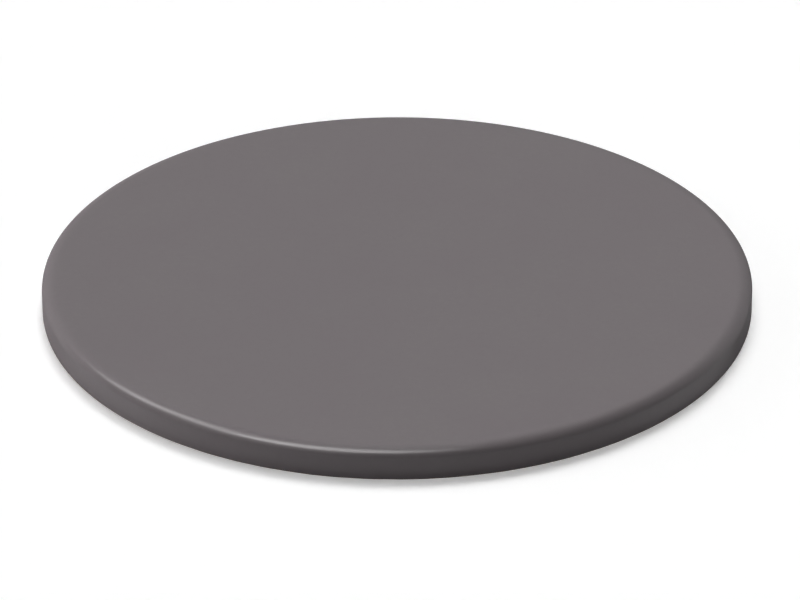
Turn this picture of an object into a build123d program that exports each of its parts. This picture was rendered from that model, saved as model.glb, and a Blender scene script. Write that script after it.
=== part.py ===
from build123d import *
import os

# A round baking stone, in millimetres, lying flat with its resting face on Z = 0 and its
# centre on the Z axis. A pressed and fired ceramic slab carries a fired glaze over its
# baking face, its rim and part of its lower edge. The resting face and the last stretch of
# the lower edge stay bare, because a glazed foot would fuse to the kiln shelf.

# Driving dimensions
stone_diameter = 360.0  # across the glazed rim
stone_thickness = 16.0  # from the resting face to the glazed baking face
glaze_thickness = 0.4  # of the fired coat
slab_roll_reach = 6.6  # how far in from the bare slab's rim its upper face starts to roll over
slab_roll_drop = 4.0  # how far down the bare slab's rim that roll ends
slab_foot_rounding = 1.1  # radius between the bare slab's rim and its resting face
glaze_line_height = 0.25  # from the resting face up to where the glaze ends

# The bare slab is the finished stone less its glaze, which covers the rim and the top only.
slab_radius = stone_diameter / 2 - glaze_thickness
slab_height = stone_thickness - glaze_thickness


def rolled_disc(radius, bottom, top, foot_rounding, roll_reach, roll_drop):
    """A flat disc about the Z axis from one level to another.

    Its foot is a quarter circle, and its upper edge rolls over in a quarter ellipse, which
    reaches further in over the face than it drops down the rim.
    """
    foot_centre = (radius - foot_rounding, bottom + foot_rounding)
    roll_centre = (radius - roll_reach, top - roll_drop)
    foot = CenterArc(foot_centre, foot_rounding, -90, 90)
    roll = EllipticalCenterArc(roll_centre, roll_reach, roll_drop, start_angle=0, arc_size=90)
    outline = [
        Line((0, bottom), foot @ 0),
        foot,
        Line(foot @ 1, roll @ 0),
        roll,
        Line(roll @ 1, (0, top)),
        Line((0, top), (0, bottom)),
    ]
    return revolve(Plane.XZ * make_face(outline), Axis.Z)


def stone_body():
    """The bare slab, as it comes from the press and the first firing."""
    return rolled_disc(
        slab_radius, 0, slab_height, slab_foot_rounding, slab_roll_reach, slab_roll_drop
    )


def glaze_coat(slab):
    """The slab grown by the glaze on every side, less the slab, down to the glaze line.

    The foot and the roll grow by the same thickness about the same centres, so the coat
    follows the slab all round.
    """
    grown = rolled_disc(
        slab_radius + glaze_thickness,
        -glaze_thickness,
        slab_height + glaze_thickness,
        slab_foot_rounding + glaze_thickness,
        slab_roll_reach + glaze_thickness,
        slab_roll_drop + glaze_thickness,
    )
    glaze_line = Plane.XY.offset(glaze_line_height)
    return split(grown - slab, glaze_line, keep=Keep.TOP)


slab = stone_body()
pieces = {"stone_body": slab, "glaze_coat": glaze_coat(slab)}

os.makedirs("parts", exist_ok=True)
for node, solid in pieces.items():
    export_step(solid, f"parts/{node}.step")
    print(f"{node}: {solid.volume:.0f} mm3")
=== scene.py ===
from math import asin, cos, degrees, pi, radians, sin

import bmesh
import bpy
from mathutils import Matrix, Vector, noise


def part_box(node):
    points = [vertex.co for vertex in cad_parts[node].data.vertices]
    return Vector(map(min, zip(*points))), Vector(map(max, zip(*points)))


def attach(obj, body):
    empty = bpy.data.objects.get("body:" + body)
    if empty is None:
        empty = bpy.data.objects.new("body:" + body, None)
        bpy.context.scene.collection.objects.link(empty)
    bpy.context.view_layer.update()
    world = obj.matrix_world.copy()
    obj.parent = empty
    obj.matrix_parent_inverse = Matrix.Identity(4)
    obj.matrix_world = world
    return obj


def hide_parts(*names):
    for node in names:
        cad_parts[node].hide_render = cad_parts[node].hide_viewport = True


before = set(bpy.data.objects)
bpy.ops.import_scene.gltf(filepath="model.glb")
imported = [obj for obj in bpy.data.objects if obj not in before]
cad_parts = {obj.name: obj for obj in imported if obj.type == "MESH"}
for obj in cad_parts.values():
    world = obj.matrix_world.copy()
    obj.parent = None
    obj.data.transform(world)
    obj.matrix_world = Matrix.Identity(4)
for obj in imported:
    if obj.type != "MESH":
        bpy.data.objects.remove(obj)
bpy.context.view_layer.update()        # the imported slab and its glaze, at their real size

mm = 0.001
mergeDistance = 0.001 * mm   # points nearer than this are one

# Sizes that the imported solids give
glazeLow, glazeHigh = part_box("glaze_coat")
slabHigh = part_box("stone_body")[1]
stoneRadius = max(glazeHigh.x, glazeHigh.y)
slabRadius = max(slabHigh.x, slabHigh.y)
stoneTop = glazeHigh.z
slabTop = slabHigh.z
glazeThickness = stoneTop - slabTop
glazeLineHeight = glazeLow.z
print("sizes read:", round(2 * stoneRadius / mm, 1), "mm across,", round(stoneTop / mm, 1), "mm high")


def linear(hexColour):
    # from sRGB to linear red, green, blue and alpha
    channels = [int(hexColour[i:i + 2], 16) / 255 for i in (1, 3, 5)]
    return [c / 12.92 if c <= 0.04045 else ((c + 0.055) / 1.055) ** 2.4 for c in channels] + [1.0]


def addNode(tree, kind, settings=None, inputs=None, links=None):
    node = tree.nodes.new(kind)
    for name, value in (settings or {}).items():
        setattr(node, name, value)
    for name, value in (inputs or {}).items():
        node.inputs[name].default_value = value
    for name, socket in (links or {}).items():
        tree.links.new(socket, node.inputs[name])
    return node


def newMaterial(name):
    material = bpy.data.materials.new(name)
    material.use_nodes = True
    material.node_tree.nodes.clear()
    return material, material.node_tree


# Satin stoneware glaze: a sprayed coat melted smooth at about 1200 degrees.
# To the eye it is one even warm grey, very faintly clouded and mottled where it lies thicker, with
# a soft sheen, the shallow dimples of a sprayed coat, and a browner tone where it thins at its edge.
# A From and a To say where on its noise's scale of 0 to 1 a change starts and is complete.
glazeLook = {
    "colour": "#6A6366",
    "cloudColour": "#6B6567",   # where the coat lies thicker
    "cloudSize": 45 * mm,
    "cloudDetail": 3,
    "cloudRaggedness": 0.55,
    "cloudFrom": 0.35,
    "cloudTo": 0.7,
    "mottleColour": "#696265",  # where fewer droplets landed
    "mottleSize": 3 * mm,       # coarser than a real spray's 1.5 mm, so that it shows in the render
    "mottleDetail": 2,
    "mottleFrom": 0.3,
    "mottleTo": 0.75,
    "mottleShare": 0.7,
    "thinColour": "#76655A",    # the clay shows through just above the glaze line
    "thinUpTo": 0.9 * mm,       # above the resting face
    "roughness": 0.255,         # stays under 0.274 with its drift: past that the denoiser draws patches
    "roughnessDrift": 0.015,    # up and down from there, as the clouds go
    "driftFrom": 0.3,
    "driftTo": 0.7,
    "ior": 1.5,
    "specular": 0.28,           # below the usual 0.5, to match the photograph's sheen
    "glanceFrom": 0.42,         # 0 is seen square on and 1 edge on
    "glanceTo": 0.76,
    "glanceLoss": 0.85,         # the share of the sheen that goes there
    "dimpleSize": 2.2 * mm,     # coarser than a real glaze's 1 mm, so that it shows in the render
    "dimpleDetail": 1,
    "dimpleDepth": 0.006 * mm,
}


def glazeColour(tree, look, place, cloud):
    cloudShare = addNode(
        tree, "ShaderNodeMapRange",
        inputs={"From Min": look["cloudFrom"], "From Max": look["cloudTo"]},
        links={"Value": cloud})
    clouded = addNode(
        tree, "ShaderNodeMix", {"data_type": "RGBA"},
        inputs={"A": linear(look["colour"]), "B": linear(look["cloudColour"])},
        links={"Factor": cloudShare.outputs["Result"]})
    mottle = addNode(
        tree, "ShaderNodeTexNoise",
        inputs={"Scale": 1 / look["mottleSize"], "Detail": look["mottleDetail"]},
        links={"Vector": place})
    mottleShare = addNode(
        tree, "ShaderNodeMapRange",
        inputs={"From Min": look["mottleFrom"], "From Max": look["mottleTo"], "To Max": look["mottleShare"]},
        links={"Value": mottle.outputs["Fac"]})
    mottled = addNode(
        tree, "ShaderNodeMix", {"data_type": "RGBA"},
        inputs={"B": linear(look["mottleColour"])},
        links={"Factor": mottleShare.outputs["Result"], "A": clouded.outputs["Result"]})
    height = addNode(tree, "ShaderNodeSeparateXYZ", links={"Vector": place})
    thinShare = addNode(
        tree, "ShaderNodeMapRange",
        inputs={"From Min": glazeLineHeight, "From Max": look["thinUpTo"], "To Min": 1, "To Max": 0},
        links={"Value": height.outputs["Z"]})
    thinned = addNode(
        tree, "ShaderNodeMix", {"data_type": "RGBA"},
        inputs={"B": linear(look["thinColour"])},
        links={"Factor": thinShare.outputs["Result"], "A": mottled.outputs["Result"]})
    return thinned.outputs["Result"]


def satinGlaze(look):
    material, tree = newMaterial("satin_glaze_on_stoneware")
    place = addNode(tree, "ShaderNodeTexCoord").outputs["Object"]
    cloud = addNode(
        tree, "ShaderNodeTexNoise",
        inputs={"Scale": 1 / look["cloudSize"], "Detail": look["cloudDetail"],
                "Roughness": look["cloudRaggedness"]},
        links={"Vector": place}).outputs["Fac"]
    roughness = addNode(
        tree, "ShaderNodeMapRange",
        inputs={"From Min": look["driftFrom"], "From Max": look["driftTo"],
                "To Min": look["roughness"] - look["roughnessDrift"],
                "To Max": look["roughness"] + look["roughnessDrift"]},
        links={"Value": cloud})
    dimple = addNode(
        tree, "ShaderNodeTexNoise",
        inputs={"Scale": 1 / look["dimpleSize"], "Detail": look["dimpleDetail"]},
        links={"Vector": place})
    dimpled = addNode(
        tree, "ShaderNodeBump",
        inputs={"Distance": look["dimpleDepth"]},
        links={"Height": dimple.outputs["Fac"]})
    surface = {"Base Color": glazeColour(tree, look, place, cloud), "Roughness": roughness.outputs["Result"],
               "Normal": dimpled.outputs["Normal"]}
    shiny = addNode(
        tree, "ShaderNodeBsdfPrincipled",
        inputs={"IOR": look["ior"], "Specular IOR Level": look["specular"]},
        links=surface)
    dull = addNode(
        tree, "ShaderNodeBsdfPrincipled",
        inputs={"IOR": look["ior"], "Specular IOR Level": 0},
        links=surface)
    # seen at a low angle the dimples hide one another, so the sheen hardly rises towards the edges
    facing = addNode(tree, "ShaderNodeLayerWeight").outputs["Facing"]
    dullShare = addNode(
        tree, "ShaderNodeMapRange",
        inputs={"From Min": look["glanceFrom"], "From Max": look["glanceTo"], "To Max": look["glanceLoss"]},
        links={"Value": facing})
    satin = addNode(
        tree, "ShaderNodeMixShader",
        links={"Fac": dullShare.outputs["Result"], 1: shiny.outputs["BSDF"], 2: dull.outputs["BSDF"]})
    addNode(tree, "ShaderNodeOutputMaterial", links={"Surface": satin.outputs["Shader"]})
    return material


# Cordierite, pressed dry and fired without a glaze.
# To the eye it is a dull, gritty buff with darker and paler grains, fine open pores, faint rings from
# the wheel that trimmed its resting face, and a warmer band where the fired glaze ends.
slabLook = {
    "colour": "#C8B497",
    "driftColour": "#BFA988",   # broad patches that the kiln coloured a little more
    "driftSize": 60 * mm,
    "driftDetail": 3,
    "driftFrom": 0.35,
    "driftTo": 0.65,
    "darkGrain": "#8E7860",
    "paleGrain": "#DCCDB4",
    "grainSize": 1.1 * mm,      # coarser than the real 0.5 mm grit, so that it shows in the render
    "grainFrom": 0.75,          # only the rarer grains stand out
    "grainTo": 0.95,
    "grainShare": 0.7,
    "flashColour": "#A98662",
    "flashFrom": 172 * mm,      # from the middle out
    "flashTo": 179 * mm,
    "flashShare": 0.8,
    "poreSize": 1.6 * mm,
    "poreDepth": 0.08 * mm,
    "poreFrom": 0.08,           # from a pore's floor to its edge, as shares of its size
    "poreTo": 0.2,
    "ringSpacing": 3 * mm,
    "ringDepth": 0.012 * mm,
    "ringWobble": 0.6,
    "ringDetail": 1,
    "roughness": 0.88,
    "ior": 1.5,
}
waveSpacing = pi / 10           # of the rings that a wave texture of scale 1 draws


def cordieriteColour(tree, look, place):
    drift = addNode(
        tree, "ShaderNodeTexNoise",
        inputs={"Scale": 1 / look["driftSize"], "Detail": look["driftDetail"]},
        links={"Vector": place})
    driftShare = addNode(
        tree, "ShaderNodeMapRange",
        inputs={"From Min": look["driftFrom"], "From Max": look["driftTo"]},
        links={"Value": drift.outputs["Fac"]})
    colour = addNode(
        tree, "ShaderNodeMix", {"data_type": "RGBA"},
        inputs={"A": linear(look["colour"]), "B": linear(look["driftColour"])},
        links={"Factor": driftShare.outputs["Result"]})
    grain = addNode(
        tree, "ShaderNodeTexVoronoi",
        inputs={"Scale": 1 / look["grainSize"]},
        links={"Vector": place})
    tone = addNode(tree, "ShaderNodeSeparateColor", links={"Color": grain.outputs["Color"]})
    for channel, hexColour in (("Red", look["darkGrain"]), ("Green", look["paleGrain"])):
        grainShare = addNode(
            tree, "ShaderNodeMapRange",
            inputs={"From Min": look["grainFrom"], "From Max": look["grainTo"], "To Max": look["grainShare"]},
            links={"Value": tone.outputs[channel]})
        colour = addNode(
            tree, "ShaderNodeMix", {"data_type": "RGBA"},
            inputs={"B": linear(hexColour)},
            links={"Factor": grainShare.outputs["Result"], "A": colour.outputs["Result"]})
    # how far out a point lies, level with the floor
    level = addNode(
        tree, "ShaderNodeVectorMath", {"operation": "MULTIPLY"},
        inputs={1: (1, 1, 0)},
        links={0: place})
    reach = addNode(
        tree, "ShaderNodeVectorMath", {"operation": "LENGTH"},
        links={0: level.outputs["Vector"]})
    flashShare = addNode(
        tree, "ShaderNodeMapRange",
        inputs={"From Min": look["flashFrom"], "From Max": look["flashTo"], "To Max": look["flashShare"]},
        links={"Value": reach.outputs["Value"]})
    flashed = addNode(
        tree, "ShaderNodeMix", {"data_type": "RGBA"},
        inputs={"B": linear(look["flashColour"])},
        links={"Factor": flashShare.outputs["Result"], "A": colour.outputs["Result"]})
    return flashed.outputs["Result"]


def pressedCordierite(look):
    material, tree = newMaterial("pressed_cordierite")
    place = addNode(tree, "ShaderNodeTexCoord").outputs["Object"]
    pore = addNode(
        tree, "ShaderNodeTexVoronoi",
        inputs={"Scale": 1 / look["poreSize"]},
        links={"Vector": place})
    poreShape = addNode(
        tree, "ShaderNodeMapRange",
        inputs={"From Min": look["poreFrom"], "From Max": look["poreTo"]},
        links={"Value": pore.outputs["Distance"]})
    pitted = addNode(
        tree, "ShaderNodeBump",
        inputs={"Distance": look["poreDepth"]},
        links={"Height": poreShape.outputs["Result"]})
    rings = addNode(
        tree, "ShaderNodeTexWave", {"wave_type": "RINGS", "rings_direction": "Z"},
        inputs={"Scale": waveSpacing / look["ringSpacing"], "Distortion": look["ringWobble"],
                "Detail": look["ringDetail"]},
        links={"Vector": place})
    trimmed = addNode(
        tree, "ShaderNodeBump",
        inputs={"Distance": look["ringDepth"]},
        links={"Height": rings.outputs["Fac"], "Normal": pitted.outputs["Normal"]})
    shader = addNode(
        tree, "ShaderNodeBsdfPrincipled",
        inputs={"Roughness": look["roughness"], "IOR": look["ior"]},
        links={"Base Color": cordieriteColour(tree, look, place), "Normal": trimmed.outputs["Normal"]})
    addNode(tree, "ShaderNodeOutputMaterial", links={"Surface": shader.outputs["BSDF"]})
    return material


def arcPoints(centre, across, down, start, end, steps):
    # part of an ellipse; angles in degrees, from straight out along +X towards +Z
    points = []
    for i in range(steps + 1):
        angle = radians(start + (end - start) * i / steps)
        points.append((centre[0] + across * cos(angle), centre[1] + down * sin(angle)))
    return points


def sideOutline(radius, top, footHeight, endAngle, shape):
    # from the middle of the face out, over the rolled edge and down the rim, then round the foot,
    # whose rounding has its centre at footHeight, as far as endAngle
    reach, drop, foot = shape["rollReach"], shape["rollDrop"], shape["footRounding"]
    rollCentre = (radius - reach, top - drop)
    rimHeight = rollCentre[1] - footHeight
    face = [(rollCentre[0] * i / shape["faceRings"], top) for i in range(shape["faceRings"])]
    roll = arcPoints(rollCentre, reach, drop, 90, 0, shape["rollSteps"])
    rim = [(radius, rollCentre[1] - rimHeight * i / shape["rimSteps"]) for i in range(1, shape["rimSteps"])]
    lowerEdge = arcPoints((radius - foot, footHeight), foot, foot, 0, endAngle, shape["footSteps"])
    return face + roll + rim + lowerEdge


def spun(outline, turns):
    # turned once round the Z axis, closed at the seam and facing outwards
    mesh = bmesh.new()
    verts = [mesh.verts.new((x, 0, z)) for x, z in outline]
    edges = [mesh.edges.new(pair) for pair in zip(verts, verts[1:])]
    bmesh.ops.spin(mesh, geom=verts + edges, cent=(0, 0, 0), axis=(0, 0, 1), angle=2 * pi,
                   steps=turns, use_merge=True)
    bmesh.ops.remove_doubles(mesh, verts=mesh.verts, dist=mergeDistance)
    bmesh.ops.recalc_face_normals(mesh, faces=mesh.faces)
    return mesh


def finishedPiece(name, mesh, material):
    for face in mesh.faces:
        face.smooth = True
    data = bpy.data.meshes.new(name)
    mesh.to_mesh(data)
    mesh.free()
    piece = bpy.data.objects.new(name, data)
    bpy.context.scene.collection.objects.link(piece)
    data.materials.append(material)
    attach(piece, "root")
    return piece


# How far the pressed and fired stone strays from true: the face by its own waves, the rim by its own
firing = {
    "faceWave": 0.05 * mm,
    "faceWaveSize": 70 * mm,
    "rimWave": 0.08 * mm,
    "rimWaveSize": 55 * mm,
    "rimWaveShift": Vector((7, 3, 5)),  # so that the rim's waves don't follow the face's
    "pressedSide": 8 * mm,              # how far in from the rim its waves reach
}


def warpAsFired(mesh, look):
    for vert in mesh.verts:
        around = Vector((vert.co.x, vert.co.y, 0))
        rimShare = max(0, 1 - (stoneRadius - around.length) / look["pressedSide"])
        heightShare = vert.co.z / stoneTop
        faceNoise = noise.noise(vert.co / look["faceWaveSize"])
        rimNoise = noise.noise(vert.co / look["rimWaveSize"] + look["rimWaveShift"])
        lift = look["faceWave"] * faceNoise * heightShare
        push = look["rimWave"] * rimNoise * rimShare
        vert.co += Vector((0, 0, lift)) + around.normalized() * push


# The glaze: a skin over the face, the rim and part of the lower edge, ending in a wandering line
glazeShape = {
    "rollReach": 7.0 * mm,      # how far in over the face the upper edge starts to roll over
    "rollDrop": 4.4 * mm,       # how far down the rim it ends
    "footRounding": 1.5 * mm,
    "lineWander": 0.3,          # how far the glaze line strays, as a share of its way round the foot
    "lineWanderSize": 9 * mm,
    "turns": 400,
    "faceRings": 30,
    "rollSteps": 22,
    "rimSteps": 6,
    "footSteps": 8,
}


def wanderGlazeLine(mesh, foot, footHeight, shape):
    # each point below the rim slides round the foot, further the nearer it is to the glaze line
    for vert in mesh.verts:
        if vert.co.z < footHeight:
            around = Vector((vert.co.x, vert.co.y, 0))
            stray = 1 + shape["lineWander"] * noise.noise(around / shape["lineWanderSize"])
            angle = asin((vert.co.z - footHeight) / foot) * stray
            reach = stoneRadius - foot + foot * cos(angle)
            vert.co = around.normalized() * reach + Vector((0, 0, footHeight + foot * sin(angle)))


def glazePiece(shape):
    foot = shape["footRounding"]
    footHeight = foot - glazeThickness  # the slab's foot is rounded about the same centre
    lineAngle = -degrees(asin((footHeight - glazeLineHeight) / foot))
    mesh = spun(sideOutline(stoneRadius, stoneTop, footHeight, lineAngle, shape), shape["turns"])
    wanderGlazeLine(mesh, foot, footHeight, shape)
    warpAsFired(mesh, firing)
    bmesh.ops.solidify(mesh, geom=mesh.faces, thickness=glazeThickness)
    return finishedPiece("fired_glaze", mesh, satinGlaze(glazeLook))


glaze = glazePiece(glazeShape)
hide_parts("glaze_coat")
print("glaze made:", len(glaze.data.polygons), "faces")

# The slab inside it, smaller all round by the glaze, and bare on the face that it rests on
slabShape = {
    "rollReach": glazeShape["rollReach"] - glazeThickness,
    "rollDrop": glazeShape["rollDrop"] - glazeThickness,
    "footRounding": glazeShape["footRounding"] - glazeThickness,
    "turns": 400,
    "faceRings": 30,
    "rollSteps": 14,
    "rimSteps": 6,
    "footSteps": 8,
    "restingRings": 36,
}


def slabPiece(shape):
    foot = shape["footRounding"]
    rings = shape["restingRings"]
    restingFace = [((slabRadius - foot) * (1 - i / rings), 0) for i in range(1, rings + 1)]
    mesh = spun(sideOutline(slabRadius, slabTop, foot, -90, shape) + restingFace, shape["turns"])
    warpAsFired(mesh, firing)
    return finishedPiece("pressed_slab", mesh, pressedCordierite(slabLook))


slab = slabPiece(slabShape)
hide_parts("stone_body")
print("slab made:", len(slab.data.polygons), "faces")

# Floor and surroundings
studio = {
    "floorRadius": 12.0,     # metres
    "floorSides": 96,
    "floorBounce": 0.5,      # how pale the floor is to the light that it throws back on the stone
    "floorGlow": 0.15,       # what lifts the lit floor to white where it is seen
    "surroundings": 0.04,    # how strongly they light the stone and the floor; they are seen as white
}


def seenDirectly(tree):
    # 1 where the eye, a reflection or glass looks, and 0 where light only bounces
    path = addNode(tree, "ShaderNodeLightPath")
    eyeOrGloss = addNode(
        tree, "ShaderNodeMath", {"operation": "MAXIMUM"},
        links={0: path.outputs["Is Camera Ray"], 1: path.outputs["Is Glossy Ray"]})
    seen = addNode(
        tree, "ShaderNodeMath", {"operation": "MAXIMUM"},
        links={0: eyeOrGloss.outputs["Value"], 1: path.outputs["Is Transmission Ray"]})
    return seen.outputs["Value"]


def studioFloor(look):
    material, tree = newMaterial("pale_floor")
    seen = seenDirectly(tree)
    colour = addNode(
        tree, "ShaderNodeMix", {"data_type": "RGBA"},
        inputs={"A": [look["floorBounce"]] * 3 + [1], "B": [1, 1, 1, 1]},
        links={"Factor": seen})
    diffuse = addNode(tree, "ShaderNodeBsdfDiffuse", links={"Color": colour.outputs["Result"]})
    glowStrength = addNode(
        tree, "ShaderNodeMath", {"operation": "MULTIPLY"},
        inputs={1: look["floorGlow"]},
        links={0: seen})
    glow = addNode(tree, "ShaderNodeEmission", links={"Strength": glowStrength.outputs["Value"]})
    lifted = addNode(
        tree, "ShaderNodeAddShader",
        links={0: diffuse.outputs["BSDF"], 1: glow.outputs["Emission"]})
    addNode(tree, "ShaderNodeOutputMaterial", links={"Surface": lifted.outputs["Shader"]})
    mesh = bmesh.new()
    bmesh.ops.create_circle(mesh, cap_ends=True, segments=look["floorSides"], radius=look["floorRadius"])
    data = bpy.data.meshes.new("studio_floor")
    mesh.to_mesh(data)
    mesh.free()
    data.materials.append(material)
    floor = bpy.data.objects.new("studio_floor", data)
    bpy.context.scene.collection.objects.link(floor)


def studioWorld(look):
    world = bpy.data.worlds.new("studio_surroundings")
    bpy.context.scene.world = world
    world.use_nodes = True
    tree = world.node_tree
    tree.nodes.clear()
    strength = addNode(
        tree, "ShaderNodeMix", {"data_type": "FLOAT"},
        inputs={"A": look["surroundings"], "B": 1},
        links={"Factor": seenDirectly(tree)})
    background = addNode(
        tree, "ShaderNodeBackground",
        inputs={"Color": (1, 1, 1, 1)},
        links={"Strength": strength.outputs["Result"]})
    addNode(tree, "ShaderNodeOutputWorld", links={"Surface": background.outputs["Background"]})


studioFloor(studio)
studioWorld(studio)

# Lamps: directions point from the stone to the lamp, and angles say how wide it looks from there.
# The body lamps light the stone and the floor, and the sheen lamps only lie in the glaze's gloss.
bodyLamps = {
    "window_behind": {"direction": (-0.09, 0.49, 0.87), "strength": 1.324, "angle": 40},
    "window_right_behind": {"direction": (0.11, 0.52, 0.85), "strength": 0.766, "angle": 20},
    "left_window": {"direction": (-0.91, 0.24, 0.34), "strength": 0.302, "angle": 30},
    "right_wall": {"direction": (0.84, -0.48, 0.26), "strength": 0.168, "angle": 40},
    "left_wall_behind": {"direction": (-0.63, 0.75, 0.17), "strength": 0.454, "angle": 20, "shadow": False},
    "left_wall_far": {"direction": (-0.93, 0.25, 0.26), "strength": 1.492, "angle": 40, "shadow": False},
    "left_wall_near": {"direction": (-0.91, -0.33, 0.26), "strength": 0.579, "angle": 40, "shadow": False},
}
sheenLamps = {
    "overhead_softbox": {"direction": (-0.19, -0.11, 0.97), "strength": 2.5, "angle": 34},
    "left_strip": {"direction": (-0.50, 0.34, 0.80), "strength": 1.07, "angle": 24},
    "left_glow": {"direction": (-0.46, -0.08, 0.88), "strength": 0.54, "angle": 20},
    "near_left_glow": {"direction": (-0.47, -0.47, 0.74), "strength": 0.42, "angle": 40},
    "behind_glow": {"direction": (0.00, 0.67, 0.74), "strength": 0.055, "angle": 40},
}


def hangLamp(name, look, lightsBody):
    data = bpy.data.lights.new(name, "SUN")
    data.energy = look["strength"]
    data.angle = radians(look["angle"])
    data.use_shadow = look.get("shadow", True)
    # if light paths could also hit a shadowless lamp by themselves, part of it would still be blocked
    data.cycles.use_multiple_importance_sampling = data.use_shadow
    lamp = bpy.data.objects.new(name, data)
    lamp.rotation_mode = "QUATERNION"
    lamp.rotation_quaternion = Vector(look["direction"]).to_track_quat("Z", "Y")
    lamp.visible_diffuse = lightsBody
    lamp.visible_glossy = not lightsBody
    bpy.context.scene.collection.objects.link(lamp)


for name, look in bodyLamps.items():
    hangLamp(name, look, lightsBody=True)
for name, look in sheenLamps.items():
    hangLamp(name, look, lightsBody=False)

# A long lens from far off
cameraLook = {
    "elevation": 28.6,
    "distance": 3.24,           # metres
    "lens": 286.9,
    "sensorWidth": 36,
    "farthest": 100,            # metres, which takes in the whole floor
    "right": 1.5 * mm,          # how far the picture's middle lies off that of the resting face
    "up": 0.97 * mm,
    "roll": -0.1,
}


def placeCamera(look):
    data = bpy.data.cameras.new("camera")
    data.lens = look["lens"]
    data.sensor_width = look["sensorWidth"]
    data.clip_end = look["farthest"]
    camera = bpy.data.objects.new("camera", data)
    bpy.context.scene.collection.objects.link(camera)
    tilt = Matrix.Rotation(radians(90 - look["elevation"]), 4, "X")
    roll = Matrix.Rotation(radians(look["roll"]), 4, "Z")
    camera.matrix_world = tilt @ roll @ Matrix.Translation((look["right"], look["up"], look["distance"]))
    bpy.context.scene.camera = camera


placeCamera(cameraLook)
bpy.context.scene.view_settings.view_transform = "Standard"
print("studio set:", len(bodyLamps) + len(sheenLamps), "lamps")
